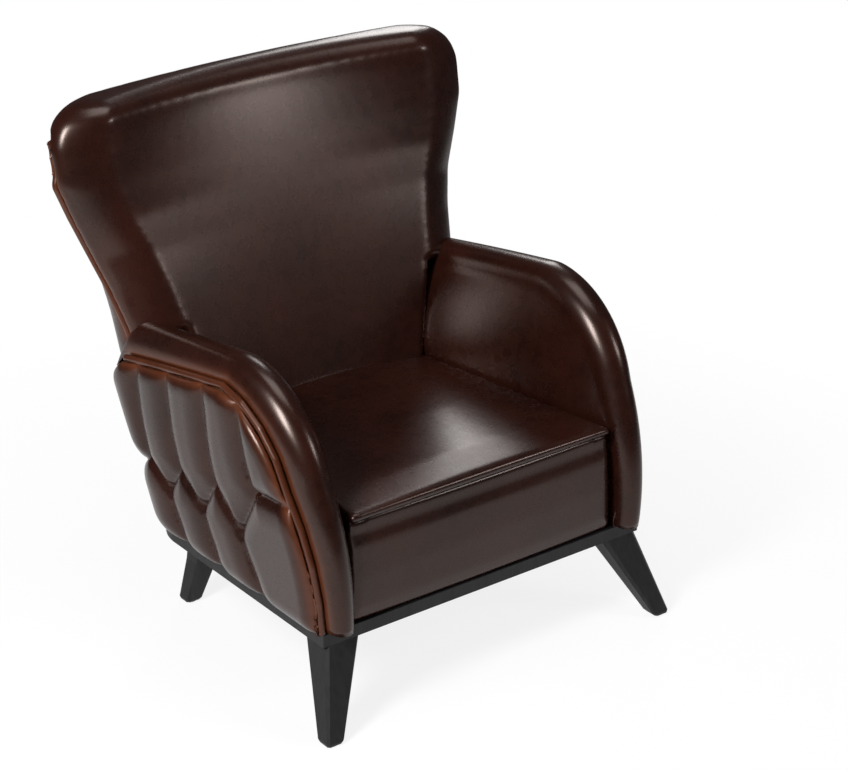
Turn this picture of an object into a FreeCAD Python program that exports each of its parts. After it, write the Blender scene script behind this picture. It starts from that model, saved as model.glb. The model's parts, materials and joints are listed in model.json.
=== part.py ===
"""Wing armchair in smooth leather with deep tufting on the outside of its shell.

Millimetres, +Z up. The chair faces -Y and stands on Z = 0, with its origin at the
middle of its footprint. Every length below is a real size of the chair.
"""
import FreeCAD, Part
import math
import os

from FreeCAD import Vector

os.makedirs("parts", exist_ok=True)

# Legs and plinth
LEG_HEIGHT = 170.0
LEG_TOP_WIDTH = 80.0
LEG_TOP_DEPTH = 68.0
FOOT_WIDTH = 36.0
LEG_CHAMFER = 9.0
FRONT_LEG_IN = 4.0
FRONT_SPLAY_OUT = 63.0
FRONT_SPLAY_FORWARD = 78.0
REAR_LEG_TOP = 64.0
REAR_LEG_X = 262.0
REAR_LEG_INSET = 66.0
REAR_SPLAY_OUT = 49.0
REAR_SPLAY_BACK = 8.0
REAR_LEG_BOW = 5.0
FOOT_EASE = 5.0
GLIDE_HEIGHT = 3.0
GLIDE_RADIUS = 12.0
PLINTH_HEIGHT = 25.0
PLINTH_WIDTH = 742.0
PLINTH_DEPTH = 617.0
PLINTH_FRONT = -345.0
PLINTH_RAIL = 90.0
PLINTH_BACK_RAIL = 112.0
PLINTH_REAR_RADIUS = 110.0

# Seat
SEAT_HEIGHT = 410.0
SEAT_FRONT_WIDTH = 600.0
SEAT_FOOT_WIDTH = 620.0
SEAT_REAR_WIDTH = 446.0
SEAT_DEPTH = 532.0
SEAT_PAD = 58.0
SEAT_CROWN = 12.0
SEAT_LIP = 14.0
LIP_REACH = 9.0
BORDER_PAD = 24.0
BORDER_SWELL = 11.0
BORDER_CORNER = 22.0
DECK = 3.0
WEB = 2.0
WEB_WIDTH = 55.0
WEB_ROOM = 1.2
SEAT_WEB_COUNT = 5
CROSS_WEB_COUNT = 4
BACK_WEB_COUNT = 5

# Arms
ARM_HEIGHT = 657.0
ARM_NOSE = 33.0
ARM_CREST_BEHIND = 250.0
ARM_INNER = 313.0
ARM_OUTER = 362.0
ARM_FLARE = 0.085
ARM_ROLL = 44.0
ARM_WALL = 12.0
ARM_REAR = 262.0
PIPE_MARGIN = 8.0
SEAM_Y = 212.0
SEAM_Z = 588.0
SEAM_FALL = 0.73

# Back and wings
BACK_HEIGHT = 1010.0
BACK_LEAN = 200.0
BACK_PAD = 35.0
WING_SPAN = 938.0
WING_WIDTH = 109.0
WING_FOOT_HALF = 370.0
WING_CORNER_RADIUS = 85.0
WING_PAD = 34.0
WING_EDGE = 24.0
WING_LAP = 4.0
TOP_ROLL_RISE = 45.0
TOP_ROLL_FRONT = 60.0
TOP_ROLL_REAR = 26.0
ROLL_LEAD = 25.0
ROLL_REAR_DIP = 25.0

# Outside covers
COVER_PAD = 18.0
COVER_DROP = 62.0
BELT_Z = 486.0
BELT_Y = 315.0
BACK_SIDE_SPLIT = 205.0
TUFT_CREASE = 7.0
TUFT_DEPTH = 22.0
TUFT_PITCH = 125.0
TUFT_FIRST = 166.0
SIDE_TUFTS = 4
TUFT_HIGH_Z = 425.0
TUFT_HIGH_FALL = 0.2
TUFT_LOW_Z = 314.0
TUFT_LOW_FALL = 0.05
PLEAT_DRIFT = 34.0
CREASE_WIDTH = 6.0
BODY_REAR_RADIUS = 110.0
REAR_START = 100.0
PIPING_RADIUS = 6.0
PIPING_ROOM = 7.3
CORD_STEPS = 4
CORD_ROOM = 2.2

# Frame
RAIL_THICKNESS = 25.0
RAIL_HEIGHT = 90.0
POST_X = 300.0
POST_DEPTH = 28.0
POST_SETBACK = 32.0
POST_DROP = 85.0
FORMER = 18.0
WING_BOARD_FOOT = 28.0
FORMER_DROP = 20.0
FORMER_UNDER_SEAT = 78.0
ARM_POST_Y = -225.0
ARM_POST_DEPTH = 36.0
ARM_RAIL_Z = 480.0
BOARD = 12.0
BOLT_RADIUS = 4.0
BOLT_HEAD_RADIUS = 6.5
BOLT_HEAD = 5.0
BOLT_BITE = 25.0
BOLT_SPACING = 30.0
CLEARANCE = 0.2
GAP = 0.3

BASE = LEG_HEIGHT + PLINTH_HEIGHT
PLINTH_BACK = PLINTH_FRONT + PLINTH_DEPTH
SEAT_FRONT = PLINTH_FRONT
SEAT_REAR = SEAT_FRONT + SEAT_DEPTH
TOP_SPRING = BACK_HEIGHT - TOP_ROLL_RISE
ROLL_START = TOP_SPRING - ROLL_LEAD
COVER_TOP = BACK_HEIGHT - COVER_DROP
BACK_SEAM_HALF = WING_SPAN / 2 - WING_WIDTH
POST_TOP = BACK_HEIGHT - POST_DROP
FORMER_BELT = BELT_Z - FORMER / 2
FORMER_TOP = POST_TOP - FORMER - 1.0
FORMER_LEVELS = (SEAT_HEIGHT - FORMER_UNDER_SEAT, FORMER_BELT, (FORMER_BELT + FORMER_TOP) / 2,
                 FORMER_TOP)
RAIL_TOP = BASE + RAIL_HEIGHT
DECK_TOP = RAIL_TOP + 2 * WEB + DECK
FRAME_X = ARM_INNER + ARM_WALL + GAP
FOOT_FRONT = PLINTH_FRONT - FRONT_SPLAY_FORWARD + LEG_TOP_DEPTH / 2 - FOOT_WIDTH / 2
ROLL_BACK = SEAT_REAR + BACK_LEAN * (TOP_SPRING - SEAT_HEIGHT) / (BACK_HEIGHT - SEAT_HEIGHT)
ROLL_BACK += TOP_ROLL_FRONT + TOP_ROLL_REAR
MIDDLE = (FOOT_FRONT + ROLL_BACK) / 2


def vec(x, y, z):
    return Vector(x, y, z)


def line(a, b):
    return Part.LineSegment(a, b).toShape()


def arc(a, b, c):
    return Part.Arc(a, b, c).toShape()


def loft(sections):
    """Solid with straight sides through closed sections, each a list of edges in order."""
    return Part.makeLoft([Part.Wire(edges) for edges in sections], True, True)


def outline(points):
    """Edges of a closed outline through corner points."""
    return [line(a, b) for a, b in zip(points, points[1:] + points[:1])]


def box(x0, x1, y0, y1, z0, z1):
    return Part.makeBox(x1 - x0, y1 - y0, z1 - z0, vec(x0, y0, z0))


def prism(points, along):
    """Solid of a flat outline of corner points moved along a vector."""
    return Part.Face(Part.Wire(outline(points))).extrude(along)


def prism_x(points, x0, x1):
    """Solid of a side outline of (y, z) points between two x."""
    return prism([vec(x0, y, z) for y, z in points], vec(x1 - x0, 0, 0))


def pin(place, radius, z0, z1):
    return Part.makeCylinder(radius, z1 - z0, vec(place[0], place[1], z0))


def largest(shape):
    return max(shape.Solids, key=lambda solid: solid.Volume)


def mirrored(shape):
    return shape.mirror(vec(0, 0, 0), vec(1, 0, 0))


def smooth(keys, t):
    """Smooth curve through (place, value) keys, level past its ends."""
    t = min(max(t, keys[0][0]), keys[-1][0])
    i = 0
    while i < len(keys) - 2 and t > keys[i + 1][0]:
        i += 1
    slopes = []
    for j in (i, i + 1):
        lo = keys[max(j - 1, 0)]
        hi = keys[min(j + 1, len(keys) - 1)]
        slopes.append((hi[1] - lo[1]) / (hi[0] - lo[0]))
    (t0, v0), (t1, v1) = keys[i], keys[i + 1]
    span = t1 - t0
    u = (t - t0) / span
    return ((2 * u ** 3 - 3 * u ** 2 + 1) * v0 + (u ** 3 - 2 * u ** 2 + u) * span * slopes[0]
            + (3 * u ** 2 - 2 * u ** 3) * v1 + (u ** 3 - u ** 2) * span * slopes[1])


def level(z):
    """Height on the back: 0 at the seat, 1 at the top."""
    return (z - SEAT_HEIGHT) / (BACK_HEIGHT - SEAT_HEIGHT)


# Hollow of the inside back, its seam's half width and the wing's edge, by level
HOLLOW = [(-0.3, 44.0), (0.0, 40.0), (0.32, 32.0), (0.6, 25.0), (0.85, 42.0), (1.0, 56.0)]
SEAM_SPREAD = [(-0.3, -0.15), (0.0, 0.0), (0.16, 0.27), (0.32, 0.51), (0.42, 0.6),
               (0.53, 0.73), (0.66, 0.95), (0.82, 1.06), (1.0, 1.0)]
WING_SPREAD = [(0.1, -0.03), (0.22, 0.0), (0.35, 0.14), (0.48, 0.34), (0.62, 0.66),
               (0.76, 0.96), (0.85, 1.0), (1.0, 1.0)]
WING_BACK = [(0.1, 47.0), (0.2, 45.0), (0.35, 44.0), (0.48, 57.0), (0.62, 45.0),
             (0.78, 28.0), (1.0, 8.0)]
REAR_BULGE = [(-0.4, 4.0), (-0.3, 28.0), (-0.2, 46.0), (-0.03, 86.0), (0.14, 120.0),
              (0.33, 152.0), (0.57, 170.0), (1.0, 190.0)]
CORNER_BULGE = [(0.1, 48.0), (0.33, 40.0), (0.48, 26.0), (0.6, 18.0), (1.0, 14.0)]
UPPER_LEVELS = [SEAM_Z + (ROLL_START - SEAM_Z) * f for f in (0.2, 0.4, 0.6, 0.8)]
BACK_LEVELS = [BASE + 130, SEAT_HEIGHT, BELT_Z + 14, SEAM_Z] + UPPER_LEVELS
BACK_LEVELS += [ROLL_START, TOP_SPRING]
BACK_LEVELS += [TOP_SPRING + TOP_ROLL_RISE * f for f in (0.4, 0.7, 0.88, 1.0)]


def roll(z):
    """1 below the top roll, falling along a quarter round towards its crest."""
    rise = max(0.0, z - TOP_SPRING) / TOP_ROLL_RISE
    return math.sqrt(1.0 - (0.97 * rise) ** 2)


def roll_growth(z):
    """0 below the top roll, 1 from where its rear is full."""
    return min(max((z - ROLL_START) / (TOP_SPRING - ROLL_START), 0.0), 1.0)


def back_front(z):
    """Middle of the inside back."""
    y = SEAT_REAR + BACK_LEAN * level(min(z, TOP_SPRING))
    return y + TOP_ROLL_FRONT * (1.0 - roll(z))


def back_rear(z):
    """Rear face of the inside back's pad at its middle, full under the top roll."""
    full = TOP_ROLL_FRONT + TOP_ROLL_REAR
    if z <= TOP_SPRING:
        return back_front(z) + BACK_PAD + (full - BACK_PAD) * roll_growth(z)
    return back_front(TOP_SPRING) + TOP_ROLL_FRONT + TOP_ROLL_REAR * roll(z)


def hollow(z):
    return smooth(HOLLOW, level(z))


def rear_dip(z):
    return hollow(z) + (ROLL_REAR_DIP - hollow(z)) * roll_growth(z)


def seam_x(z):
    half = SEAT_REAR_WIDTH / 2
    return half + (BACK_SEAM_HALF - half) * smooth(SEAM_SPREAD, level(z))


def wing_x(z):
    x = WING_FOOT_HALF + (WING_SPAN / 2 - WING_FOOT_HALF) * smooth(WING_SPREAD, level(z))
    drop = z - (BACK_HEIGHT - WING_CORNER_RADIUS)
    if drop > 0:
        flat = math.sqrt(max(0.0, WING_CORNER_RADIUS ** 2 - drop ** 2))
        x -= WING_CORNER_RADIUS - flat
    return x


def wing_y(z):
    return SEAT_REAR + BACK_LEAN * level(z) + smooth(WING_BACK, level(z))


def rear_y(z):
    """Middle of the outside back."""
    return PLINTH_BACK + smooth(REAR_BULGE, level(z))


def arm_outer(z):
    return ARM_OUTER + ARM_FLARE * (z - BASE)


def seam_height(y):
    """Height of the seam between arm and wing, seen from the side."""
    return SEAM_Z - SEAM_FALL * (y - SEAM_Y)


def pad_rear(x, z):
    """Rear face of the inside back's pad at a distance from the middle."""
    half = seam_x(z)
    dip = rear_dip(z)
    radius = (half ** 2 + dip ** 2) / (2 * dip)
    return back_rear(z) - radius + math.sqrt(radius ** 2 - x ** 2)


def inside_back(grow=0.0, deeper=0.0):
    sections = []
    for z in BACK_LEVELS:
        front = back_front(z) - grow
        rear = back_rear(z) + deeper
        half = seam_x(z) + grow
        dip = hollow(z)
        sag = rear_dip(z)
        left, right = vec(-half, front - dip, z), vec(half, front - dip, z)
        left_rear, right_rear = vec(-half, rear - sag, z), vec(half, rear - sag, z)
        sections.append([arc(left, vec(0, front, z), right), line(right, right_rear),
                         arc(right_rear, vec(0, rear, z), left_rear), line(left_rear, left)])
    return loft(sections)


def wing_section(z):
    """Edges of the right wing's pad at one height and the two ends of its rear face."""
    k = roll(z)
    grown = roll_growth(z)
    q = vec(seam_x(z) - WING_LAP, back_front(z) - hollow(z), z)
    p = vec(wing_x(z), wing_y(z) - PIPING_ROOM, z)
    p.x = max(p.x, q.x + WING_LAP + 16.0)
    chord = p - q
    along = chord / chord.Length
    out = vec(along.y, -along.x, 0)
    swell = 4.0 + 16.0 * k
    a = q + chord * 0.36 + out * swell * 0.8
    b = q + chord * 0.72 + out * swell
    c = q + chord * 0.93 + out * swell * 0.62
    tuck = WING_EDGE + (3.0 - WING_EDGE) * grown
    p_in = vec(p.x - tuck, p.y + 12.0 * k * grown, z)
    flat_rear = min(q.y + WING_PAD, p.y)
    q_in = vec(q.x, flat_rear + (back_rear(z) - rear_dip(z) - flat_rear) * grown, z)
    return q, a, b, c, p, p_in, q_in


def wing_loft(deeper=0.0):
    sections = []
    for z in BACK_LEVELS[1:]:
        q, a, b, c, p, p_in, q_in = wing_section(z)
        p_in.y += deeper
        q_in.y += deeper
        rear = p_in - q_in
        bulge = vec(-rear.y, rear.x, 0) / rear.Length * (0.5 + 9.0 * roll_growth(z) * roll(z))
        sections.append([arc(q, a, b), arc(b, c, p), line(p, p_in),
                         arc(p_in, (p_in + q_in) / 2 + bulge, q_in), line(q_in, q)])
    return loft(sections)


def seam_side(offset, upward):
    """Everything above or below the seam between arm and wing."""
    ends = (SEAM_Y - 300, SEAM_Y + 400)
    far = 2000 if upward else -500
    points = [(y, seam_height(y) + offset) for y in ends]
    return prism_x(points + [(ends[1], far), (ends[0], far)], 0, WING_SPAN)


def wing(back_cut):
    return largest(wing_loft().cut(back_cut).cut(seam_side(GAP, False)))


def arm_edge(offsets):
    """(y, z) corner points of the arm's side outline, each moved in by its offset."""
    nose = PLINTH_FRONT - ARM_NOSE
    crest = PLINTH_FRONT + ARM_CREST_BEHIND
    shape = [(0.0, 0.0, -1.0, 0.0), (0.014, 0.292, -1.0, 0.05), (0.187, 0.628, -0.9, 0.43),
             (0.488, 0.89, -0.62, 0.78), (1.0, 1.0, 0.0, 1.0)]
    points = []
    for (along, up, ny, nz), off in zip(shape, offsets):
        points.append((nose + along * (crest - nose) - ny * off,
                       BASE + up * (ARM_HEIGHT - BASE) - nz * off))
    middle = (crest + ARM_REAR) / 2
    fall = ARM_HEIGHT - seam_height(SEAM_Y) - 12.0
    points.append((middle, ARM_HEIGHT - fall * 0.47 - offsets[5]))
    points.append((ARM_REAR, ARM_HEIGHT - fall - offsets[6]))
    return points


# Distance from the arm's side outline in to its piping
PIPE_INSET = [40.0, 44.0, 58.0, 55.0, 50.0, 58.0, 66.0]
# Shares of the way out at which the arm's roll is drawn
ROLL_SHARES = (0.0, 0.04, 0.14, 0.3, 0.5, 0.7, 0.86, 0.96, 1.0)


def arm_place(f, y, z):
    return vec(ARM_INNER + f * (arm_outer(z) - ARM_INNER), y, z)


def arm_slice(f, offsets):
    """Side outline of the arm on the leaning plane a share f of the way out."""
    foot, f1, f2, f3, crest, r1, rear = [arm_place(f, *p) for p in arm_edge(offsets)]
    foot = arm_place(f, foot.y, BASE)
    heel = arm_place(f, ARM_REAR, BASE)
    return [arc(foot, f1, f2), arc(f2, f3, crest), arc(crest, r1, rear), line(rear, heel),
            line(heel, foot)]


def seat_half(y, z=SEAT_HEIGHT):
    """Half width of the seat at a depth and height."""
    share = (y - SEAT_FRONT) / SEAT_DEPTH
    low = (SEAT_HEIGHT - z) / (SEAT_HEIGHT - BASE)
    front = SEAT_FRONT_WIDTH / 2 + (SEAT_FOOT_WIDTH - SEAT_FRONT_WIDTH) / 2 * low
    return front + (SEAT_REAR_WIDTH / 2 - front) * share


def arm_filler():
    """Slanted foam under the roll, meeting the seat and the inside back."""
    outer = ARM_INNER + 20.0
    rear = SEAM_Y + 4.0
    top = SEAM_Z - 24.0
    sections = []
    for z in (DECK_TOP + GAP, SEAT_HEIGHT, top):
        start = seat_half(SEAT_FRONT, BASE) + 1.5
        end = seat_half(rear, BASE) + 1.5
        if z == top:
            start, end = ARM_INNER - 0.5, ARM_INNER - 24.0
        sections.append(outline([vec(start, SEAT_FRONT, z), vec(end, rear, z),
                                 vec(outer, rear, z), vec(outer, SEAT_FRONT, z)]))
    return loft(sections)


def side_prism(offset, ends, x0, x1):
    """Solid between two x of the room inside the arm's piping, closed by (y, z) ends."""
    foot, f1, f2, f3, crest, r1, rear = [
        vec(x0, y, z) for y, z in arm_edge([inset + offset for inset in PIPE_INSET])]
    foot.z = BASE - 1
    corners = [rear] + [vec(x0, y, z) for y, z in ends] + [foot]
    edges = [arc(foot, f1, f2), arc(f2, f3, crest), arc(crest, r1, rear)]
    edges += [line(a, b) for a, b in zip(corners, corners[1:])]
    return Part.Face(Part.Wire(edges)).extrude(vec(x1 - x0, 0, 0))


def arm_cavity():
    """Room for the arm's frame, open to the plinth, the back and the outside."""
    top = arm_edge([inset + PIPE_MARGIN for inset in PIPE_INSET])[-1][1]
    ends = [(ARM_REAR + 1, top), (ARM_REAR + 1, BASE - 1)]
    return side_prism(PIPE_MARGIN, ends, ARM_INNER + ARM_WALL, ARM_INNER + 200)


def rear_shell():
    """Everything outside the tufted cover's inner face, behind the arms' rear half."""
    sections = []
    for z in TUFT_STOPS:
        wrap = Wrap(z)
        inner = [wrap.at(place, -TUFT_CREASE - GAP) for place in
                 (wrap.side + wrap.bend, wrap.side + wrap.bend / 2, wrap.side, 0)]
        front, front_flip = inner[3], flip(inner[3])
        sections.append([line(flip(inner[0]), inner[0]), arc(inner[0], inner[1], inner[2]),
                         line(inner[2], front), line(front, front_flip),
                         line(front_flip, flip(inner[2])),
                         arc(flip(inner[2]), flip(inner[1]), flip(inner[0]))])
    inside = loft(sections)
    return box(-WING_SPAN, WING_SPAN, REAR_START, WING_SPAN, BASE - 1, BELT_Z + 60).cut(inside)


def arm(back_cut, post_cut, shell):
    body = []
    for f in ROLL_SHARES:
        across = 1.0 - 2.0 * f
        swell = 1.0 - math.sqrt(max(0.0, 1.0 - across * across))
        if f < 0.75:
            body.append(arm_slice(f, [ARM_ROLL * swell * 0.7] * 2 + [ARM_ROLL * swell] * 5))
        else:
            body.append(arm_slice(f, [inset * swell for inset in PIPE_INSET]))
    solid = loft(body).fuse(arm_filler()).cut(back_cut).cut(arm_cavity())
    return solid.cut(seam_side(-GAP, True)).cut(post_cut).cut(shell)


def arm_piping():
    """Cord along the arm's outer edge, from the plinth to the wing."""
    foot, f1, f2, f3, crest, r1, rear = [vec(0, y, z) for y, z in arm_edge(PIPE_INSET)]
    foot.z -= 3.0
    points = []
    for curve in (arc(foot, f1, f2), arc(f2, f3, crest), arc(crest, r1, rear)):
        points += curve.discretize(CORD_STEPS + 1)[:-1]
    points.append(rear)
    for point in points:
        point.x = arm_outer(point.z) + GAP + PIPING_RADIUS
    return cord(points).cut(box(0, WING_SPAN, -WING_SPAN, WING_SPAN, 0, BASE + GAP))


def cord(points):
    """Round cord with a ring at each of its points."""
    rings = []
    for i, place in enumerate(points):
        along = points[min(i + 1, len(points) - 1)] - points[max(i - 1, 0)]
        rings.append([Part.makeCircle(PIPING_RADIUS, place, along)])
    return loft(rings)


def cover_line(z):
    """Corner points of the outside back at one height: edge, corner, knee, middle."""
    edge = vec(wing_x(z), wing_y(z) + PIPING_ROOM, z)
    middle = vec(0, rear_y(z), z)
    knee = vec(0.7 * edge.x, middle.y - 12.0, z)
    chord = knee - edge
    along = chord / chord.Length
    bulge = vec(along.y, -along.x, 0) * smooth(CORNER_BULGE, level(z))
    return edge, edge + chord * 0.42 + bulge, knee, middle


def outside_back_upper(panel):
    sections = []
    for z in [BELT_Z + GAP, SEAM_Z] + UPPER_LEVELS + [COVER_TOP]:
        edge, corner, knee, middle = cover_line(z)
        edge_in = edge - vec(COVER_PAD, 0, 0)
        corner_in = corner - vec(COVER_PAD, COVER_PAD, 0) * 0.7
        knee_in = knee - vec(5.0, COVER_PAD, 0)
        middle_in = middle - vec(0, COVER_PAD, 0)
        half = [arc(edge, corner, knee), arc(knee_in, corner_in, edge_in)]
        across = [arc(knee, middle, flip(knee)), arc(flip(knee_in), middle_in, knee_in)]
        sections.append([half[0], across[0], arc(flip(knee), flip(corner), flip(edge)),
                         line(flip(edge), flip(edge_in)),
                         arc(flip(edge_in), flip(corner_in), flip(knee_in)), across[1],
                         half[1], line(edge_in, edge)])
    return loft(sections).cut(panel)


def flip(point):
    return vec(-point.x, point.y, point.z)


def wing_piping():
    """Cord up the wing's outer edge, from the arm to the top."""
    levels = [seam_height(ARM_REAR) + 14.0] + [z for z in BACK_LEVELS if SEAM_Z <= z <= ROLL_START]
    return cord([vec(wing_x(z), wing_y(z), z) for z in levels])


def top_piping():
    """Cord along the top of the outside back, under the roll."""
    edge, corner, knee, middle = cover_line(COVER_TOP + PIPING_RADIUS + GAP)
    half = [edge + vec(0, PIPING_RADIUS, 0), corner - vec(0, PIPING_RADIUS, 0),
            knee - vec(0, PIPING_RADIUS, 0)]
    curve = Part.BSplineCurve()
    curve.interpolate(half + [middle - vec(0, PIPING_RADIUS, 0)] + [flip(p) for p in half[::-1]])
    return cord(curve.discretize(Number=6 * CORD_STEPS + 1))


# Fullness of the tufting at each height where it is drawn
TUFT_STOPS = {BASE: 0.3, BASE + 30: 0.85, 290: 0.95, 345: 1.0, 430: 1.0, BELT_Z: 0.9, 610: 0.45}


class Wrap:
    """Line of the tufting's creases at one height, from the front to the back's middle."""

    def __init__(self, z):
        self.z = z
        self.half = arm_outer(z) + GAP + TUFT_CREASE
        self.rear = rear_y(z) - TUFT_DEPTH
        self.radius = BODY_REAR_RADIUS
        self.side = self.rear - self.radius - PLINTH_FRONT
        self.bend = self.radius * math.pi / 2
        self.length = self.side + self.bend + self.half - self.radius

    def at(self, s, out=0.0):
        """Point at distance s along the wrap, moved outward."""
        if s <= self.side:
            return vec(self.half + out, PLINTH_FRONT + s, self.z)
        if s <= self.side + self.bend:
            turn = (s - self.side) / self.radius
            reach = self.radius + out
            return vec(self.half - self.radius + reach * math.cos(turn),
                       self.rear - self.radius + reach * math.sin(turn), self.z)
        return vec(self.length - s, self.rear + out, self.z)


def tuft_places(wrap):
    """Distances and heights of the high and low tufts: side, corner, then back."""
    high = [TUFT_FIRST + TUFT_PITCH * i for i in range(SIDE_TUFTS)]
    high.append(wrap.side + wrap.bend * 0.55)
    straight = wrap.half - wrap.radius
    high += [wrap.length - straight * share for share in (0.55, 0.0)]
    low = [(a + b) / 2 for a, b in zip(high, high[1:])]
    last = high[SIDE_TUFTS - 1]
    fallen = [min(s, last) - TUFT_FIRST for s in high]
    high = [(s, TUFT_HIGH_Z - TUFT_HIGH_FALL * d) for s, d in zip(high, fallen)]
    fallen = [min(s, last) - TUFT_FIRST for s in low]
    low = [(s, TUFT_LOW_Z - TUFT_LOW_FALL * d) for s, d in zip(low, fallen)]
    return high, low


def share(z, start, end):
    return min(max((z - start) / (end - start), 0.0), 1.0)


def crease_marks(wrap):
    """Distances of the creases at one height, in pairs round the low tufts."""
    high, low = tuft_places(wrap)
    half = CREASE_WIDTH / 2
    marks = [0.0]
    for i, (place, start) in enumerate(low):
        drift = PLEAT_DRIFT * (1.0 - share(wrap.z, BASE, start)) if i < SIDE_TUFTS else 0.0
        for side, j in ((-1, i), (1, i + 1)):
            goal, end = high[j]
            lean = PLEAT_DRIFT * share(wrap.z, end, BELT_Z + 60) if j < SIDE_TUFTS else 0.0
            first = place + side * half - drift
            last = goal - side * half + lean
            marks.append(first + (last - first) * share(wrap.z, start, end))
    marks[-1] = min(marks[-1], wrap.length - half)
    marks.append(wrap.length)
    return marks


def tufted_wrap():
    """Tufted cover round both sides and the back, closed by a flat inner face."""
    sections = []
    for z, full in TUFT_STOPS.items():
        wrap = Wrap(z)
        marks = crease_marks(wrap)
        puffs = []
        start = wrap.at(0)
        for a, b in zip(marks, marks[1:]):
            swell = full * TUFT_DEPTH * min(1.0, (b - a) / TUFT_PITCH * 1.1)
            middle = wrap.at((a + b) / 2, swell)
            end = wrap.at(b)
            if b == wrap.length:
                high_z = tuft_places(wrap)[0][-1][1]
                last = TUFT_DEPTH * full * (1.0 - share(z, TUFT_LOW_Z, high_z))
                end = wrap.at(b, last + 0.4)
                middle = wrap.at((a + b) / 2, max(last * 0.8, swell) + 0.8)
            puffs.append((start, middle, end))
            start = end
        inner = [wrap.at(place, -TUFT_CREASE) for place in
                 (wrap.side + wrap.bend, wrap.side + wrap.bend / 2, wrap.side, 0)]
        edges = [arc(*puff) for puff in puffs]
        edges += [arc(flip(c), flip(b), flip(a)) for a, b, c in reversed(puffs)]
        edges += [line(flip(wrap.at(0)), flip(inner[3])), line(flip(inner[3]), flip(inner[2])),
                  arc(flip(inner[2]), flip(inner[1]), flip(inner[0])),
                  line(flip(inner[0]), inner[0]), arc(inner[0], inner[1], inner[2]),
                  line(inner[2], inner[3]), line(inner[3], wrap.at(0))]
        sections.append(edges)
    return loft(sections)


def panel_prism(offset):
    """Room of the tufted panel seen from the side, inside the piping and under the belt."""
    ends = [(BELT_Y, BELT_Z), (WING_SPAN, BELT_Z), (WING_SPAN, BASE - 1)]
    return side_prism(offset, ends, -WING_SPAN, WING_SPAN)


def octagon(x, y, width, depth, chamfer, z):
    a, b = width / 2, depth / 2
    corners = [(a - chamfer, -b), (a, -b + chamfer), (a, b - chamfer), (a - chamfer, b),
               (-a + chamfer, b), (-a, b - chamfer), (-a, -b + chamfer), (-a + chamfer, -b)]
    return outline([vec(x + dx, y + dy, z) for dx, dy in corners])


def leg(top, foot, width, depth, bow=0.0):
    """Tapered leg with chamfered edges from the plinth to its eased foot."""
    narrow = LEG_CHAMFER * FOOT_WIDTH / width
    sections = []
    stops = [(GLIDE_HEIGHT, 0.0, FOOT_EASE), (GLIDE_HEIGHT + FOOT_EASE, 0.0, 0.0)]
    if bow:
        stops.append(((GLIDE_HEIGHT + LEG_HEIGHT) / 2, 1.0, 0.0))
    stops.append((LEG_HEIGHT, 0.0, 0.0))
    for z, bend, ease in stops:
        up = (z - GLIDE_HEIGHT) / (LEG_HEIGHT - GLIDE_HEIGHT)
        x = foot[0] + (top[0] - foot[0]) * up - bow * bend
        y = foot[1] + (top[1] - foot[1]) * up
        wide = FOOT_WIDTH + (width - FOOT_WIDTH) * up - ease
        deep = FOOT_WIDTH + (depth - FOOT_WIDTH) * up - ease
        sections.append(octagon(x, y, wide, deep, narrow + (LEG_CHAMFER - narrow) * up, z))
    return loft(sections)


FRONT_TOP = (PLINTH_WIDTH / 2 - FRONT_LEG_IN - LEG_TOP_WIDTH / 2,
             PLINTH_FRONT + LEG_TOP_DEPTH / 2)
FRONT_FOOT = (FRONT_TOP[0] + FRONT_SPLAY_OUT, FRONT_TOP[1] - FRONT_SPLAY_FORWARD)
REAR_TOP = (REAR_LEG_X, PLINTH_BACK - REAR_LEG_INSET)
REAR_FOOT = (REAR_TOP[0] + REAR_SPLAY_OUT, REAR_TOP[1] + REAR_SPLAY_BACK)
BOLTS = [(x + side * BOLT_SPACING / 2, y) for x, y in (FRONT_TOP, REAR_TOP) for side in (-1, 1)]
BOLTS += [(-x, y) for x, y in BOLTS]


def bolt(place, grow=0.0):
    """Countersunk bolt down through the plinth into a leg."""
    shank = pin(place, BOLT_RADIUS + grow, LEG_HEIGHT - BOLT_BITE - grow, BASE - BOLT_HEAD)
    return shank.fuse(pin(place, BOLT_HEAD_RADIUS + grow, BASE - BOLT_HEAD - grow, BASE))


FRONT_RAIL_Y = SEAT_FRONT + BORDER_PAD + GAP
REAR_RAIL_Y = PLINTH_BACK - PLINTH_BACK_RAIL


def plinth():
    """Front, rear and side boards of the plinth."""
    half = PLINTH_WIDTH / 2
    front_rear = PLINTH_FRONT + PLINTH_RAIL
    front = box(-half, half, PLINTH_FRONT, front_rear, LEG_HEIGHT, BASE)
    side = box(half - PLINTH_RAIL, half, front_rear, REAR_RAIL_Y, LEG_HEIGHT, BASE)
    turn = PLINTH_REAR_RADIUS
    cut = turn * math.sqrt(0.5)
    z = LEG_HEIGHT
    centre = vec(half - turn, PLINTH_BACK - turn, z)
    start, end = centre + vec(turn, 0, 0), centre + vec(0, turn, 0)
    right, left = vec(half, REAR_RAIL_Y, z), vec(-half, REAR_RAIL_Y, z)
    corner = centre + vec(cut, cut, 0)
    edges = [line(left, right), line(right, start), arc(start, corner, end),
             line(end, flip(end)), arc(flip(end), flip(corner), flip(start)),
             line(flip(start), left)]
    rear = Part.Face(Part.Wire(edges)).extrude(vec(0, 0, PLINTH_HEIGHT))
    holes = [bolt(place, CLEARANCE) for place in BOLTS]
    return front.cut(holes), rear.cut(holes), side


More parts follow.
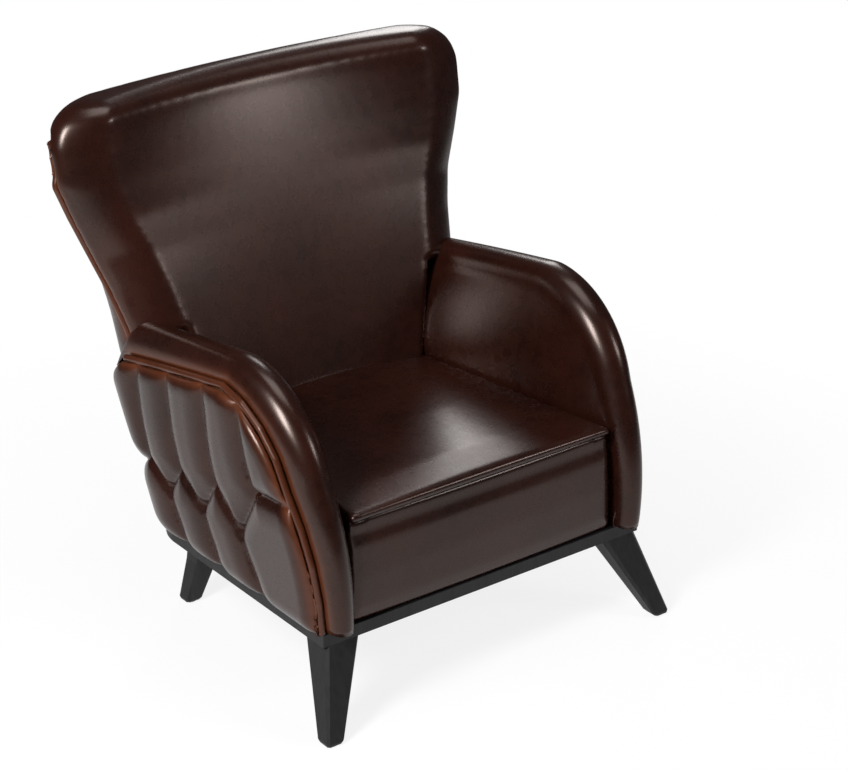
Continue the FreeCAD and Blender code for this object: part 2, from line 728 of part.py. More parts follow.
def seat_border():
    """Puffed pad across the seat's front, from the plinth up to the lip's underside."""
    top = SEAT_HEIGHT - SEAT_LIP - GAP
    rear = SEAT_FRONT + BORDER_PAD
    turn = BORDER_CORNER
    sections = []
    stops = [(BASE, 7.0), (BASE + 30, 1.5), (BASE + 90, 0.0), (BASE + 150, 4.0),
             (top - 26, BORDER_SWELL), (top, BORDER_SWELL)]
    for z, back in stops:
        front = SEAT_FRONT + back
        half = seat_half(SEAT_FRONT, z)
        corner = min(turn, rear - front - 2.0)
        side = vec(half, front + corner, z)
        turned = vec(half - corner, front, z)
        bent = vec(half - 0.3 * corner, front + 0.3 * corner, z)
        sections.append([arc(flip(turned), vec(0, front - 3.0, z), turned),
                         arc(turned, bent, side), line(side, vec(half, rear, z)),
                         line(vec(half, rear, z), vec(-half, rear, z)),
                         line(vec(-half, rear, z), flip(side)),
                         arc(flip(side), flip(bent), flip(turned))])
    return loft(sections)


def seat_pad(back_cut):
    """Crowned leather seat with a thin lip over the front border."""
    under = SEAT_HEIGHT - SEAT_LIP
    sections = []
    reach = SEAT_FRONT - LIP_REACH + BORDER_SWELL
    stops = [(reach, 4.0, 0.0), (reach + 2.5, 1.0, 0.0), (reach + 9.0, 0.0, 0.2),
             (SEAT_FRONT + 90, 0.0, 0.8), (SEAT_FRONT + 250, 0.0, 1.0),
             (SEAT_FRONT + 400, 0.0, 0.8), (SEAT_REAR + 20, 0.0, 0.1)]
    for y, ease, crown in stops:
        half = seat_half(max(y, SEAT_FRONT)) - ease
        z0, z1 = under + ease, SEAT_HEIGHT - ease
        edge = 5.0
        rise = z1 + crown * SEAT_CROWN
        right, left = vec(half, y, z1 - edge), vec(-half, y, z1 - edge)
        sections.append([line(vec(-half, y, z0), vec(half, y, z0)),
                         line(vec(half, y, z0), right),
                         arc(right, vec(half - 1.5, y, z1 - 1.5), vec(half - edge, y, z1)),
                         arc(vec(half - edge, y, z1), vec(0, y, rise + 0.5),
                             vec(edge - half, y, z1)),
                         arc(vec(edge - half, y, z1), vec(1.5 - half, y, z1 - 1.5), left),
                         line(left, vec(-half, y, z0))])
    top = loft(sections)
    base = []
    for z in (SEAT_HEIGHT - SEAT_PAD, under):
        front = seat_half(SEAT_FRONT + BORDER_PAD)
        rear = seat_half(SEAT_REAR)
        base.append(outline([vec(-front, SEAT_FRONT + BORDER_PAD + GAP, z),
                             vec(front, SEAT_FRONT + BORDER_PAD + GAP, z),
                             vec(rear, SEAT_REAR, z), vec(-rear, SEAT_REAR, z)]))
    return top.fuse(loft(base)).cut(back_cut)


def seat_foam(back_cut):
    sections = []
    for z in (DECK_TOP, SEAT_HEIGHT - SEAT_PAD):
        y0, y1 = SEAT_FRONT + BORDER_PAD + GAP, REAR_RAIL_Y - 10.0
        front, rear = seat_half(y0, z), seat_half(y1, z)
        sections.append(outline([vec(-front, y0, z), vec(front, y0, z), vec(rear, y1, z),
                                 vec(-rear, y1, z)]))
    return loft(sections).cut(back_cut)


def back_strap(x):
    """Strap up the rear of the inside back's pad, from the lowest to the top former."""
    sections = []
    half = WEB_WIDTH / 2
    top = FORMER_LEVELS[-1] + FORMER
    between = [z for z in BACK_LEVELS if FORMER_LEVELS[0] < z < top]
    for z in [FORMER_LEVELS[0]] + between + [top]:
        start = vec(x - half, pad_rear(x - half, z) + WEB_ROOM, z)
        end = vec(x + half, pad_rear(x + half, z) + WEB_ROOM, z)
        sections.append(outline([start, end, end + vec(0, WEB, 0), start + vec(0, WEB, 0)]))
    return loft(sections)


def former(z, cover, cutters):
    """Level board between the inside back's straps and the outside cover."""
    sections = []
    for height in (z, z + FORMER):
        reach = seam_x(height) - 12.0
        reach = min(reach, POST_X)
        front = pad_rear(reach, height) + WEB + WEB_ROOM + GAP
        rear = rear_y(height) - cover
        middle = vec(0, back_rear(height) + WEB + WEB_ROOM + GAP, height)
        start = vec(reach, front, height)
        edges = [arc(flip(start), middle, start)]
        side = start
        if reach < POST_X:
            back = max(back_front(height) + POST_SETBACK - 4.0, front, SEAM_Y + 5.0)
            side = vec(POST_X, back, height)
            notch = vec(reach, back, height)
            edges += [line(start, notch), line(notch, side)]
        heel = vec(POST_X, rear - FORMER_DROP, height)
        edges += [line(side, heel), arc(heel, vec(0, rear, height), flip(heel)),
                  line(flip(heel), flip(side))]
        if reach < POST_X:
            edges += [line(flip(side), flip(notch)), line(flip(notch), flip(start))]
        sections.append(edges)
    return loft(sections).cut(cutters)


def post_outline(grow=0.0):
    """(y, z) outline of a back post, leaning with the back."""
    foot, top = BASE, POST_TOP
    low, high = back_front(foot) + POST_SETBACK, back_front(top) + POST_SETBACK
    return [(low - grow, foot - grow), (low + POST_DEPTH + grow, foot - grow),
            (high + POST_DEPTH + grow, top + grow), (high - grow, top + grow)]


def wing_board(wing_cut):
    """Board behind the wing's pad, from the back post to the wing's edge."""
    sections = []
    for z in [SEAM_Z - WING_BOARD_FOOT, SEAM_Z] + UPPER_LEVELS[:-1] + [POST_TOP]:
        p_in, q_in = wing_section(z)[5:]
        slope = (p_in.y - q_in.y) / (p_in.x - q_in.x)
        start = vec(FRAME_X, q_in.y + slope * (FRAME_X - q_in.x) - 2.0, z)
        end = vec(p_in.x, p_in.y - 2.0, z)
        deep = vec(0, BOARD + 2.0, 0)
        sections.append(outline([start, end, end + deep, start + deep]))
    return loft(sections).cut(wing_cut).cut(inside_back(GAP, GAP))


def leaning_post(y0, y1, z0, z1):
    """Block of the arm's frame reaching out to the arm's leaning board."""
    reach = [arm_outer(z) - BOARD for z in (z0, z1)]
    points = [vec(FRAME_X, y0, z0), vec(reach[0], y0, z0), vec(reach[1], y0, z1),
              vec(FRAME_X, y0, z1)]
    return prism(points, vec(0, y1 - y0, 0))


def arm_board():
    """Leaning board behind the tufted side."""
    edges = arm_slice(1.0, [inset + PIPE_MARGIN + 2.0 for inset in PIPE_INSET])
    return Part.Face(Part.Wire(edges)).extrude(vec(-BOARD, 0, 0))


def spread(count, half):
    """Even places from one side to the other."""
    return [-half + 2 * half * i / (count - 1) for i in range(count)]


def export(name, shape):
    if len(shape.Solids) == 1:
        shape = shape.Solids[0]
    shape.translate(vec(0, -MIDDLE, 0))
    shape.exportStep("parts/" + name + ".step")


def export_pair(name, shape):
    export(name + "_left", mirrored(shape))
    export(name + "_right", shape)


back_cut = inside_back(GAP, 300.0)
post_right = prism_x(post_outline(), POST_X, FRAME_X)
post_cut = prism_x(post_outline(GAP), POST_X - GAP, FRAME_X + GAP)
pad_back = inside_back()

front_plinth, rear_plinth, side_plinth = plinth()
export("plinth_front", front_plinth)
export("plinth_back", rear_plinth)
export_pair("plinth_side", side_plinth)

bolts = [bolt(place) for place in BOLTS]
holes = [bolt(place, CLEARANCE) for place in BOLTS]
front_leg = leg(FRONT_TOP, FRONT_FOOT, LEG_TOP_WIDTH, LEG_TOP_DEPTH)
rear_leg = leg(REAR_TOP, REAR_FOOT, REAR_LEG_TOP, REAR_LEG_TOP, REAR_LEG_BOW)
export_pair("front_leg", front_leg.cut(holes))
export_pair("rear_leg", rear_leg.cut(holes))
export("leg_bolts", Part.makeCompound(bolts))
feet = [(side * x, y) for x, y in (FRONT_FOOT, REAR_FOOT) for side in (-1, 1)]
glides = [pin(place, GLIDE_RADIUS, 0, GLIDE_HEIGHT) for place in feet]
export("foot_glides", Part.makeCompound(glides))

rail_half = ARM_INNER - 3.0
front_rail_back = FRONT_RAIL_Y + RAIL_THICKNESS
front_rail = box(-rail_half, rail_half, FRONT_RAIL_Y, front_rail_back, BASE, RAIL_TOP)
rear_rail = box(-POST_X, POST_X, REAR_RAIL_Y, REAR_RAIL_Y + RAIL_THICKNESS, BASE, RAIL_TOP)
side_rail = box(rail_half - RAIL_THICKNESS, rail_half, front_rail_back, REAR_RAIL_Y, BASE,
                RAIL_TOP)
export("seat_rail_front", front_rail)
export("seat_rail_back", rear_rail.cut(post_cut).cut(mirrored(post_cut)))
export_pair("seat_rail_side", side_rail.cut(post_cut))
export_pair("back_post", post_right)

rail_back = REAR_RAIL_Y + RAIL_THICKNESS
webs = []
for x in spread(SEAT_WEB_COUNT, rail_half - RAIL_THICKNESS - WEB_WIDTH):
    webs.append(box(x - WEB_WIDTH / 2, x + WEB_WIDTH / 2, FRONT_RAIL_Y, rail_back, RAIL_TOP,
                    RAIL_TOP + WEB))
export("seat_webbing_long", Part.makeCompound(webs))
webs = []
room = (REAR_RAIL_Y - front_rail_back) / 2
for y in spread(CROSS_WEB_COUNT, room - WEB_WIDTH):
    middle = front_rail_back + room + y
    webs.append(box(-rail_half, rail_half, middle - WEB_WIDTH / 2, middle + WEB_WIDTH / 2,
                    RAIL_TOP + WEB, RAIL_TOP + 2 * WEB))
export("seat_webbing_cross", Part.makeCompound(webs))
deck_back = REAR_RAIL_Y - 10.0
deck_front = seat_half(FRONT_RAIL_Y)
deck_rear = seat_half(deck_back)
deck = prism([vec(-deck_front, FRONT_RAIL_Y, RAIL_TOP + 2 * WEB),
              vec(deck_front, FRONT_RAIL_Y, RAIL_TOP + 2 * WEB),
              vec(deck_rear, deck_back, RAIL_TOP + 2 * WEB),
              vec(-deck_rear, deck_back, RAIL_TOP + 2 * WEB)], vec(0, 0, DECK))
export("seat_deck", deck)
export("seat_foam", seat_foam(back_cut))
export("seat_pad", seat_pad(back_cut))
export("seat_front_border", seat_border())

inner = PLINTH_WIDTH / 2 - PLINTH_RAIL - CLEARANCE
dust = box(-inner, inner, PLINTH_FRONT + PLINTH_RAIL + CLEARANCE, REAR_RAIL_Y - CLEARANCE,
           BASE - WEB, BASE)
export("dust_cover", dust)

export("inside_back", pad_back)
wing_right = wing(back_cut)
export_pair("wing", wing_right)
export_pair("wing_board", wing_board(wing_loft(GAP)))
straps = [back_strap(x) for x in spread(BACK_WEB_COUNT, 160.0)]
export("back_webbing", Part.makeCompound(straps))
tufted_inner = TUFT_DEPTH + TUFT_CREASE + GAP
cover_inner = COVER_PAD + GAP
names = ("back_board_low", "back_board_belt", "back_board_middle", "back_board_top")
for name, z in zip(names, FORMER_LEVELS):
    inner = tufted_inner if z < BELT_Z else cover_inner
    export(name, former(z, inner, [post_right, mirrored(post_right)]))

shell = rear_shell()
arm_right = arm(back_cut, post_cut, shell)
export_pair("arm", arm_right)
export_pair("arm_piping", arm_piping())
export_pair("arm_board", arm_board().cut(shell))
export_pair("arm_post", leaning_post(ARM_POST_Y, ARM_POST_Y + ARM_POST_DEPTH, BASE, ARM_RAIL_Z))
export_pair("arm_rail", leaning_post(ARM_POST_Y, ARM_REAR, ARM_RAIL_Z,
                                     ARM_RAIL_Z + RAIL_THICKNESS))

panel_room = panel_prism(PIPING_RADIUS + CORD_ROOM)
tufted = tufted_wrap().common(panel_room)
side_room = box(0, WING_SPAN, -WING_SPAN, BACK_SIDE_SPLIT, 0, BACK_HEIGHT)
rear_room = box(-WING_SPAN, WING_SPAN, BACK_SIDE_SPLIT + GAP, WING_SPAN, 0, BACK_HEIGHT)
export_pair("outside_arm", tufted.common(side_room))
export("outside_back_tufted", tufted.common(rear_room))
export("outside_back_upper", outside_back_upper(panel_prism(-CORD_ROOM)))
export_pair("wing_piping", wing_piping())
export("top_piping", top_piping())
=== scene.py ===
import bpy
import bmesh
import json
import math
from mathutils import Matrix, Vector
from mathutils.kdtree import KDTree


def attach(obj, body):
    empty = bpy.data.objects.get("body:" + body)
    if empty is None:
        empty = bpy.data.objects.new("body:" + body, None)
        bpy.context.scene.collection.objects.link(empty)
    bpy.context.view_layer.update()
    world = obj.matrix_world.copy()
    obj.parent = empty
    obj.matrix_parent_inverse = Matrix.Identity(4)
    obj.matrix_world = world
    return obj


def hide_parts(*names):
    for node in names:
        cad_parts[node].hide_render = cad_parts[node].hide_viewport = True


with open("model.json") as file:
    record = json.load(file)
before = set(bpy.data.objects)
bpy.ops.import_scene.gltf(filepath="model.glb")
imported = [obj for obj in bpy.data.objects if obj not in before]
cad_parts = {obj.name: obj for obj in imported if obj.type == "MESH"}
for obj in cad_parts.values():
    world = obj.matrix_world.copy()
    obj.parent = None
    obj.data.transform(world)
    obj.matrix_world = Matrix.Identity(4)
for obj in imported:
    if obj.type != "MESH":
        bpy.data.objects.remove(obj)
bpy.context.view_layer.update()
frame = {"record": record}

MM = 0.001
MIDDLE = 25.49
BASE = 195.0
PLINTH_FRONT = -345.0
PLINTH_BACK = 272.0
SEAT_HEIGHT = 410.0
BACK_HEIGHT = 1010.0
SEAT_HALF = (300.0, 223.0)
SEAT_FOOT_HALF = 310.0
SEAT_DEPTH = 532.0
ARM_INNER = 313.0
ARM_ROLL = 44.0
ARM_OUTER = 362.0
ARM_FLARE = 0.085
ARM_HEIGHT = 657.0
ARM_REAR = 262.0
SEAM_Z = 588.0
BELT_Y = 315.0
BELT_Z = 486.0
REAR_RADIUS = 110.0
REAR_INSET = 30.0
CREASE = 7.3
TUFT_DEPTH = 24.0
PUFF_RADIUS = 52.0
RIM_RADIUS = 30.0
FOOT_RADIUS = 34.0
PIT_DEPTH = 9.0
PIT_RADIUS = 13.0
COVER_ROWS = 84
COVER_STEP = 4.5
PIPE_ROOM = 4.0
ROLL_TURNS = 18
WALL_DROPS = 34
ARM_TAIL = 60.0
SHEET_THICKNESS = 0.005
PIPE_INSET = (40.0, 44.0, 58.0, 55.0, 50.0, 58.0, 66.0)
REAR_BULGE = ((-0.4, 4.0), (-0.3, 28.0), (-0.2, 46.0), (-0.03, 86.0), (0.14, 120.0))


# Shader maths

class Node:
    """A shader value that can be added, multiplied and mixed."""

    def __init__(self, tree, socket):
        self.tree = tree
        self.socket = socket

    def op(self, kind, *others, clamp=False):
        node = self.tree.nodes.new("ShaderNodeMath")
        node.operation = kind
        node.use_clamp = clamp
        for index, value in enumerate((self,) + others):
            if isinstance(value, Node):
                self.tree.links.new(value.socket, node.inputs[index])
            else:
                node.inputs[index].default_value = value
        return Node(self.tree, node.outputs[0])

    def __add__(self, other):
        return self.op("ADD", other)

    def __sub__(self, other):
        return self.op("SUBTRACT", other)

    def __mul__(self, other):
        return self.op("MULTIPLY", other)

    def clamp(self):
        return self.op("ADD", 0.0, clamp=True)

    def ramp(self, low, high):
        node = self.tree.nodes.new("ShaderNodeMapRange")
        self.tree.links.new(self.socket, node.inputs["Value"])
        node.inputs["From Min"].default_value = low
        node.inputs["From Max"].default_value = high
        return Node(self.tree, node.outputs[0])


class Material:
    """A material with one Principled shader and helpers for its textures."""

    def __init__(self, name):
        self.material = bpy.data.materials.new(name)
        self.material.use_nodes = True
        self.tree = self.material.node_tree
        self.shader = self.tree.nodes["Principled BSDF"]
        self.coords = self.tree.nodes.new("ShaderNodeTexCoord").outputs["Object"]

    def stretched(self, scale):
        node = self.tree.nodes.new("ShaderNodeMapping")
        self.tree.links.new(self.coords, node.inputs["Vector"])
        node.inputs["Scale"].default_value = scale
        return node.outputs["Vector"]

    def noise(self, scale, detail=4.0, rough=0.5, coords=None):
        node = self.tree.nodes.new("ShaderNodeTexNoise")
        self.tree.links.new(coords or self.coords, node.inputs["Vector"])
        node.inputs["Scale"].default_value = scale
        node.inputs["Detail"].default_value = detail
        node.inputs["Roughness"].default_value = rough
        return Node(self.tree, node.outputs["Fac"])

    def attribute(self, name):
        node = self.tree.nodes.new("ShaderNodeAttribute")
        node.attribute_name = name
        return Node(self.tree, node.outputs["Fac"])

    def mix(self, share, first, second):
        node = self.tree.nodes.new("ShaderNodeMix")
        node.data_type = "RGBA"
        self.tree.links.new(share.socket, node.inputs["Factor"])
        for place, colour in (("A", first), ("B", second)):
            socket = [s for s in node.inputs if s.name == place and s.type == "RGBA"][0]
            if isinstance(colour, Node):
                self.tree.links.new(colour.socket, socket)
            else:
                socket.default_value = (*colour, 1.0)
        out = [s for s in node.outputs if s.type == "RGBA"][0]
        return Node(self.tree, out)

    def feed(self, name, value):
        if isinstance(value, Node):
            self.tree.links.new(value.socket, self.shader.inputs[name])
        else:
            self.shader.inputs[name].default_value = value

    def bump(self, height, strength, distance):
        node = self.tree.nodes.new("ShaderNodeBump")
        node.inputs["Strength"].default_value = strength
        node.inputs["Distance"].default_value = distance
        self.tree.links.new(height.socket, node.inputs["Height"])
        self.tree.links.new(node.outputs["Normal"], self.shader.inputs["Normal"])


def leather():
    """Smooth glossy dark brown leather, rust coloured where it is drawn over a seam."""
    made = Material("leather_brown")
    cloud = made.noise(6.0, 3.0)
    mottle = made.noise(45.0, 6.0, 0.6)
    seam = made.attribute("seam")
    base = made.mix(cloud.ramp(0.3, 0.7), (0.0075, 0.0018, 0.0011), (0.019, 0.0046, 0.0028))
    base = made.mix((mottle.ramp(0.35, 0.75) * 0.2).clamp(), base, (0.036, 0.0098, 0.0050))
    worn = (seam * (mottle * 0.9 + 0.55)).clamp()
    made.feed("Base Color", made.mix(worn, base, (0.150, 0.040, 0.014)))
    made.bump(made.noise(260.0, 4.0, 0.6), 0.05, 0.0003)
    made.feed("Roughness", mottle * 0.05 + 0.25 + seam * 0.08)
    made.feed("Coat Weight", 0.08)
    made.feed("Coat Roughness", 0.22)
    made.feed("Specular IOR Level", 0.38)
    made.feed("Specular Tint", (1.0, 0.80, 0.72, 1.0))
    return made.material


def dark_wood():
    """Near-black stained wood with a faint grain along its length."""
    made = Material("wood_black")
    grain = made.noise(9.0, 8.0, 0.65, made.stretched((14.0, 14.0, 1.6)))
    pores = made.noise(60.0, 4.0, 0.7, made.stretched((16.0, 16.0, 0.8)))
    made.feed("Base Color", made.mix(grain.ramp(0.3, 0.72), (0.004, 0.0038, 0.0045),
                                     (0.013, 0.012, 0.0135)))
    made.feed("Roughness", pores * 0.2 + 0.42)
    made.bump(grain * 0.4 + pores * 0.8, 0.25, 0.0005)
    made.feed("Specular IOR Level", 0.3)
    return made.material


def plain(name, low, high, rough, scale, stretch=(1.0, 1.0, 1.0), metal=0.0):
    """Simple procedural finish for the hidden pieces."""
    made = Material(name)
    pattern = made.noise(scale, 6.0, 0.6, made.stretched(stretch))
    made.feed("Base Color", made.mix(pattern.ramp(0.3, 0.7), low, high))
    made.feed("Roughness", pattern * 0.2 + rough)
    made.feed("Metallic", metal)
    made.bump(pattern, 0.2, 0.0004)
    return made.material


LEATHER = leather()
WOOD = dark_wood()
SLOT_MATERIALS = {
    "dark_wood": WOOD,
    "frame_wood": plain("wood_frame", (0.20, 0.12, 0.06), (0.33, 0.22, 0.12), 0.6, 12.0,
                        (12.0, 12.0, 1.0)),
    "steel": plain("zinc_steel", (0.45, 0.45, 0.47), (0.6, 0.6, 0.62), 0.3, 200.0, metal=1.0),
    "glide_plastic": plain("glide_black", (0.012, 0.012, 0.012), (0.02, 0.02, 0.02), 0.5, 300.0),
    "webbing_cloth": plain("lining_cloth", (0.010, 0.010, 0.011), (0.024, 0.023, 0.024), 0.85,
                           900.0),
    "foam": plain("foam", (0.55, 0.5, 0.36), (0.68, 0.63, 0.47), 0.9, 500.0),
    "leather": LEATHER,
}


def mesh_object(name, verts, faces):
    mesh = bpy.data.meshes.new(name)
    mesh.from_pydata(verts, [], faces)
    mesh.update()
    thing = bpy.data.objects.new(name, mesh)
    bpy.context.scene.collection.objects.link(thing)
    return thing


def applied(thing):
    """Bake the live modifiers of an object into its mesh."""
    graph = bpy.context.evaluated_depsgraph_get()
    mesh = bpy.data.meshes.new_from_object(thing.evaluated_get(graph))
    thing.modifiers.clear()
    thing.data = mesh
    mesh.shade_smooth()
    return thing


def softened(nodes, voxel, rounds, swell=0.0012):
    """Soft copy of CAD solids: even mesh, rounded edges and a little more fullness."""
    work = bmesh.new()
    for node in nodes:
        work.from_mesh(bpy.data.objects[node].data)
    bmesh.ops.remove_doubles(work, verts=work.verts, dist=2e-5)
    mesh = bpy.data.meshes.new(nodes[0] + "_soft")
    work.to_mesh(mesh)
    work.free()
    thing = bpy.data.objects.new(mesh.name, mesh)
    bpy.context.scene.collection.objects.link(thing)
    remesh = thing.modifiers.new("even", "REMESH")
    remesh.mode = "VOXEL"
    remesh.voxel_size = voxel
    smooth = thing.modifiers.new("round", "SMOOTH")
    smooth.factor = 0.6
    smooth.iterations = rounds
    fuller = thing.modifiers.new("full", "DISPLACE")
    fuller.mid_level = 0.0
    fuller.strength = swell
    return applied(thing)


# Outline of the arm's piping and the tufted cover, in the CAD's millimetres

def arc_points(a, b, c, count):
    """Points on the circle through three (y, z) points."""
    d = 2 * (a[0] * (b[1] - c[1]) + b[0] * (c[1] - a[1]) + c[0] * (a[1] - b[1]))
    sq = [p[0] ** 2 + p[1] ** 2 for p in (a, b, c)]
    cy = (sq[0] * (b[1] - c[1]) + sq[1] * (c[1] - a[1]) + sq[2] * (a[1] - b[1])) / d
    cz = (sq[0] * (c[0] - b[0]) + sq[1] * (a[0] - c[0]) + sq[2] * (b[0] - a[0])) / d
    start = math.atan2(a[1] - cz, a[0] - cy)
    sweep = math.remainder(math.atan2(c[1] - cz, c[0] - cy) - start, 2 * math.pi)
    radius = math.hypot(a[0] - cy, a[1] - cz)
    turns = [start + sweep * i / count for i in range(count + 1)]
    return [(cy + radius * math.cos(t), cz + radius * math.sin(t)) for t in turns]


def arm_edge(offset, insets=PIPE_INSET):
    """Side outline of the arm as (y, z) points, moved in by insets and an offset."""
    nose = PLINTH_FRONT - 33.0
    crest = PLINTH_FRONT + 250.0
    shape = ((0.0, 0.0, -1.0, 0.0), (0.014, 0.292, -1.0, 0.05), (0.187, 0.628, -0.9, 0.43),
             (0.488, 0.89, -0.62, 0.78), (1.0, 1.0, 0.0, 1.0))
    points = []
    for (along, up, ny, nz), inset in zip(shape, insets):
        off = inset + offset
        points.append((nose + along * (crest - nose) - ny * off,
                       BASE + up * (ARM_HEIGHT - BASE) - nz * off))
    fall = ARM_HEIGHT - SEAM_Z - 12.0
    points.append(((crest + ARM_REAR) / 2, ARM_HEIGHT - fall * 0.47 - insets[5] - offset))
    points.append((ARM_REAR, ARM_HEIGHT - fall - insets[6] - offset))
    foot, f1, f2, f3, top, r1, rear = points
    foot = (foot[0], BASE)
    line = arc_points(foot, f1, f2, 20) + arc_points(f2, f3, top, 26)[1:]
    return line + arc_points(top, r1, rear, 30)[1:]


def smooth_keys(keys, t):
    t = min(max(t, keys[0][0]), keys[-1][0])
    i = 0
    while i < len(keys) - 2 and t > keys[i + 1][0]:
        i += 1
    slopes = []
    for j in (i, i + 1):
        lo = keys[max(j - 1, 0)]
        hi = keys[min(j + 1, len(keys) - 1)]
        slopes.append((hi[1] - lo[1]) / (hi[0] - lo[0]))
    (t0, v0), (t1, v1) = keys[i], keys[i + 1]
    span = t1 - t0
    u = (t - t0) / span
    return ((2 * u ** 3 - 3 * u ** 2 + 1) * v0 + (u ** 3 - 2 * u ** 2 + u) * span * slopes[0]
            + (3 * u ** 2 - 2 * u ** 3) * v1 + (u ** 3 - u ** 2) * span * slopes[1])


class Wrap:
    """Line round the tufted cover at one height, from the front to the back's middle."""

    def __init__(self, z):
        self.z = z
        self.half = ARM_OUTER + ARM_FLARE * (z - BASE) + CREASE
        level = (z - SEAT_HEIGHT) / (BACK_HEIGHT - SEAT_HEIGHT)
        self.rear = PLINTH_BACK + smooth_keys(REAR_BULGE, level) - REAR_INSET
        self.side = self.rear - REAR_RADIUS - PLINTH_FRONT
        self.bend = REAR_RADIUS * math.pi / 2
        self.length = self.side + self.bend + self.half - REAR_RADIUS

    def at(self, s, out):
        if s <= self.side:
            place = (self.half + out, PLINTH_FRONT + s)
        elif s <= self.side + self.bend:
            turn = (s - self.side) / REAR_RADIUS
            reach = REAR_RADIUS + out
            place = (self.half - REAR_RADIUS + reach * math.cos(turn),
                     self.rear - REAR_RADIUS + reach * math.sin(turn))
        else:
            place = (self.length - s, self.rear + out)
        return Vector((place[0], place[1] - MIDDLE, self.z)) * MM


# Where the cover's side ends, and the tufts as (distance round the cover, height)
SIDE_END = 600.0
HIGH = [(166.0, 425.0), (303.0, 391.0), (430.0, 371.0), (541.0, 350.0), (687.0, 352.0),
        (833.0, 354.0), (979.0, 354.0)]
LOW = [(231.0, 316.0), (362.0, 312.0), (480.0, 302.0), (614.0, 300.0), (760.0, 300.0),
       (906.0, 300.0), (1052.0, 300.0)]


def bowed(a, b, bow, count=8):
    """Points along a slightly S-shaped pleat between two places."""
    points = []
    for i in range(count + 1):
        t = i / count
        side = bow * math.sin(2 * math.pi * t)
        points.append((a[0] + (b[0] - a[0]) * t + side, a[1] + (b[1] - a[1]) * t))
    return points


def pleats():
    """Crease lines of the tufting."""
    lines = []
    for i, low in enumerate(LOW):
        lines.append(bowed(low, HIGH[i], 2.0))
        if i + 1 < len(HIGH):
            lines.append(bowed(low, HIGH[i + 1], -2.0))
        lean = -58.0 if i == 0 else -44.0
        lines.append(bowed(low, (low[0] + (lean if i < 4 else 0.0), BASE - 12.0), 3.0))
    for i, high in enumerate(HIGH):
        lean = (56.0, 24.0, 29.0, 30.0, 10.0, 0.0, 0.0)[i]
        lines.append(bowed(high, (high[0] + lean, 640.0), 7.0 if i < 4 else 2.0))
    lines.append(bowed(HIGH[0], (62.0, 436.0), 3.0))
    return lines


def dome(share):
    """Quarter round from 0 to 1."""
    return math.sqrt(max(0.0, 1.0 - (1.0 - min(max(share, 0.0), 1.0)) ** 2))


def segment_distance(p, a, b):
    dx, dz = b[0] - a[0], b[1] - a[1]
    t = ((p[0] - a[0]) * dx + (p[1] - a[1]) * dz) / (dx * dx + dz * dz)
    t = min(max(t, 0.0), 1.0)
    return math.hypot(p[0] - a[0] - dx * t, p[1] - a[1] - dz * t)


def tufted_cover():
    """Leather drawn into diamonds over the outside of both arms and the lower back."""
    edge = arm_edge(PIPE_ROOM)
    columns = [(y - PLINTH_FRONT, z) for y, z in edge]
    for i in range(1, 8):
        share = i / 7
        columns.append((ARM_REAR + (BELT_Y - ARM_REAR) * share - PLINTH_FRONT,
                        edge[-1][1] + (BELT_Z - edge[-1][1]) * share))
    last = columns[-1][0]
    length = Wrap(BELT_Z).length
    steps = int((length - last) / 4.0)
    columns += [(last + (length - last) * i / steps, BELT_Z) for i in range(1, steps + 1)]
    dense = [columns[0]]
    for a, b in zip(columns, columns[1:]):
        parts = max(1, int(math.hypot(b[0] - a[0], b[1] - a[1]) / COVER_STEP))
        for i in range(1, parts + 1):
            dense.append((a[0] + (b[0] - a[0]) * i / parts, a[1] + (b[1] - a[1]) * i / parts))
    lines = pleats()
    segments = [(a, b) for line in lines for a, b in zip(line, line[1:])]
    rim = [(a, b) for a, b in zip(columns[::2], columns[2::2])]
    verts = []
    for s, top in dense:
        near = [g for g in segments if min(g[0][0], g[1][0]) - 75 < s < max(g[0][0], g[1][0]) + 75]
        edge_near = [g for g in rim if abs(g[0][0] - s) < 90]
        for row in range(COVER_ROWS + 1):
            z = BASE + (top - BASE) * row / COVER_ROWS
            wrap = Wrap(z)
            rear_share = max((s - SIDE_END) / (length - SIDE_END), 0.0)
            place = s + (wrap.length - length) * rear_share
            gap = min([segment_distance((s, z), a, b) for a, b in near] + [60.0])
            pit = min(math.hypot(s - q[0], z - q[1]) for q in HIGH + LOW)
            border = min([segment_distance((s, z), a, b) for a, b in edge_near] + [60.0])
            out = TUFT_DEPTH * dome(gap / PUFF_RADIUS)
            out *= 0.25 + 0.75 * dome(border / RIM_RADIUS)
            out *= 0.25 + 0.75 * dome((z - BASE) / FOOT_RADIUS)
            out -= PIT_DEPTH * math.exp(-(pit / PIT_RADIUS) ** 2)
            verts.append(wrap.at(min(place, wrap.length), out))
    count = len(dense)
    width = COVER_ROWS + 1
    faces = []
    for i in range(count - 1):
        for row in range(COVER_ROWS):
            k = i * width + row
            faces.append((k, k + 1, k + width + 1, k + width))
    half = len(verts)
    verts += [Vector((-v.x, v.y, v.z)) for v in verts]
    faces += [tuple(half + k for k in reversed(face)) for face in faces]
    return sheet("tufted_cover", verts, faces, 2)


def seat_side(y, z):
    """Half width of the seat at a depth and height."""
    share = max((y - PLINTH_FRONT) / SEAT_DEPTH, 0.0)
    low = min(max((SEAT_HEIGHT - z) / (SEAT_HEIGHT - BASE), 0.0), 1.0)
    front = SEAT_HALF[0] + (SEAT_FOOT_HALF - SEAT_HALF[0]) * low
    return front + (SEAT_HALF[1] - front) * share + 2.0


